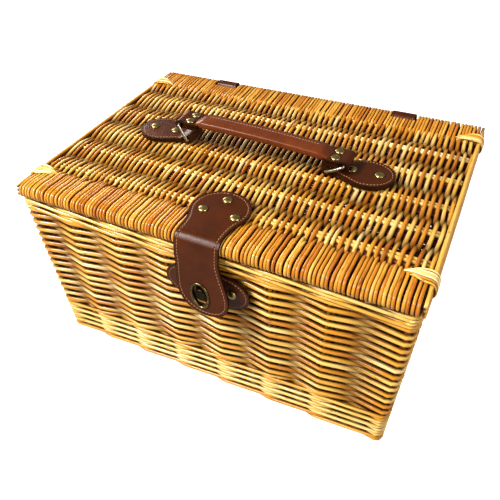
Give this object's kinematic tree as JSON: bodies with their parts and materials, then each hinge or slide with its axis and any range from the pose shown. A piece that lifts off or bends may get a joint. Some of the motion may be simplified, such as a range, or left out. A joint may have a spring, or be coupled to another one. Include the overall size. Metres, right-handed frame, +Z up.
{
  "type": "picnic basket",
  "caption": "Lidded willow picnic hamper, its lid on leather hinges, with a turn-lock clasp strap and a ring-hung leather handle.",
  "frame": {"origin": "middle of the face that the basket rests on", "axes": "+X to the right along the long side, +Y to the back where the hinges are, -Y to the front with the clasp, +Z up"},
  "size_m": [0.403, 0.3142, 0.2287],
  "materials": {
    "willow": "varnished honey willow weave",
    "golden_willow": "varnished golden willow rods",
    "pale_willow": "pale peeled willow, satin",
    "dark_willow": "dark willow sticks, satin",
    "leather": "glossy dark red-brown leather, stitched edge",
    "grip_leather": "polished rolled leather, sewn crest",
    "aged_brass": "antique brass, worn highlights",
    "ring_steel": "nickel-plated wire, aged"
  },
  "bodies": {
    "basket": {"base_weave": "willow", "base_stick_1": "dark_willow", "base_stick_2": "dark_willow", "base_stick_3": "dark_willow", "foot_border": "golden_willow", "wall_weave": "willow", "stakes_and_rim": "golden_willow", "corner_post_front_left": "dark_willow", "corner_post_front_right": "dark_willow", "corner_post_back_left": "dark_willow", "corner_post_back_right": "dark_willow", "hinge_leaf_left": "leather", "hinge_leaf_right": "leather", "hinge_rivet_left": "aged_brass", "hinge_rivet_right": "aged_brass", "clasp_patch": "leather", "patch_rivet_left": "aged_brass", "patch_rivet_right": "aged_brass", "lock_base": "aged_brass", "lock_washer": "ring_steel"},
    "lid": {"lid_weave": "willow", "lid_rods_1": "pale_willow", "lid_rods_2": "pale_willow", "lid_rods_3": "pale_willow", "lid_rods_4": "pale_willow", "lid_rods_5": "pale_willow", "lid_rods_6": "pale_willow", "lid_side_rods_left": "golden_willow", "lid_side_rods_right": "golden_willow", "corner_tie_front_left": "pale_willow", "corner_tie_front_right": "pale_willow", "corner_tie_back_left": "pale_willow", "corner_tie_back_right": "pale_willow", "hinge_tab_left": "leather", "hinge_tab_right": "leather", "handle_plate_left": "leather", "handle_plate_right": "leather", "plate_rivet_left_1": "aged_brass", "plate_rivet_left_2": "aged_brass", "plate_rivet_right_1": "aged_brass", "plate_rivet_right_2": "aged_brass", "clasp_strap": "leather", "strap_rivet_1": "aged_brass", "strap_rivet_2": "aged_brass", "strap_rivet_3": "aged_brass"},
    "clasp_tongue": {"clasp_tongue": "leather", "clasp_eyelet": "aged_brass"},
    "turn_knob": {"turn_knob": "aged_brass"},
    "ring_left": {"handle_ring_left": "ring_steel"},
    "ring_right": {"handle_ring_right": "ring_steel"},
    "handle": {"handle_grip": "grip_leather", "handle_wrap_left": "leather", "handle_wrap_right": "leather", "wrap_rivet_left_front": "aged_brass", "wrap_rivet_left_back": "aged_brass", "wrap_rivet_right_front": "aged_brass", "wrap_rivet_right_back": "aged_brass"}
  },
  "joints": [
    {"name": "lid_hinge", "type": "hinge", "parent": "basket", "child": "lid", "pos_m": [0, 0.1515, 0.18435], "axis": [-1, 0, 0], "range_deg": [0, 110]},
    {"name": "clasp_flap", "type": "hinge", "parent": "lid", "child": "clasp_tongue", "pos_m": [0.008, -0.15102, 0.19957], "axis": [-1, 0, 0], "range_deg": [-7.5, 120]},
    {"name": "knob_turn", "type": "hinge", "parent": "basket", "child": "turn_knob", "pos_m": [0.0125, -0.14481, 0.145], "axis": [0, -0.9967, -0.0812], "range_deg": [0, 90]},
    {"name": "ring_left_swing", "type": "hinge", "parent": "lid", "child": "ring_left", "pos_m": [-0.0786, 0, 0.2045], "axis": [0, -1, 0], "range_deg": [0, 33]},
    {"name": "handle_swing", "type": "hinge", "parent": "ring_left", "child": "handle", "pos_m": [-0.0883, 0, 0.22199], "axis": [0, -1, 0], "range_deg": [-28, 0]},
    {"name": "ring_right_swing", "type": "hinge", "parent": "lid", "child": "ring_right", "pos_m": [0.0738, 0, 0.2045], "axis": [0, -1, 0], "range_deg": [0, 33]}
  ],
  "couplings": [
    {"joint": "handle_swing", "follows": "ring_left_swing", "ratio": -0.84357},
    {"joint": "ring_right_swing", "follows": "ring_left_swing", "ratio": 1}
  ]
}
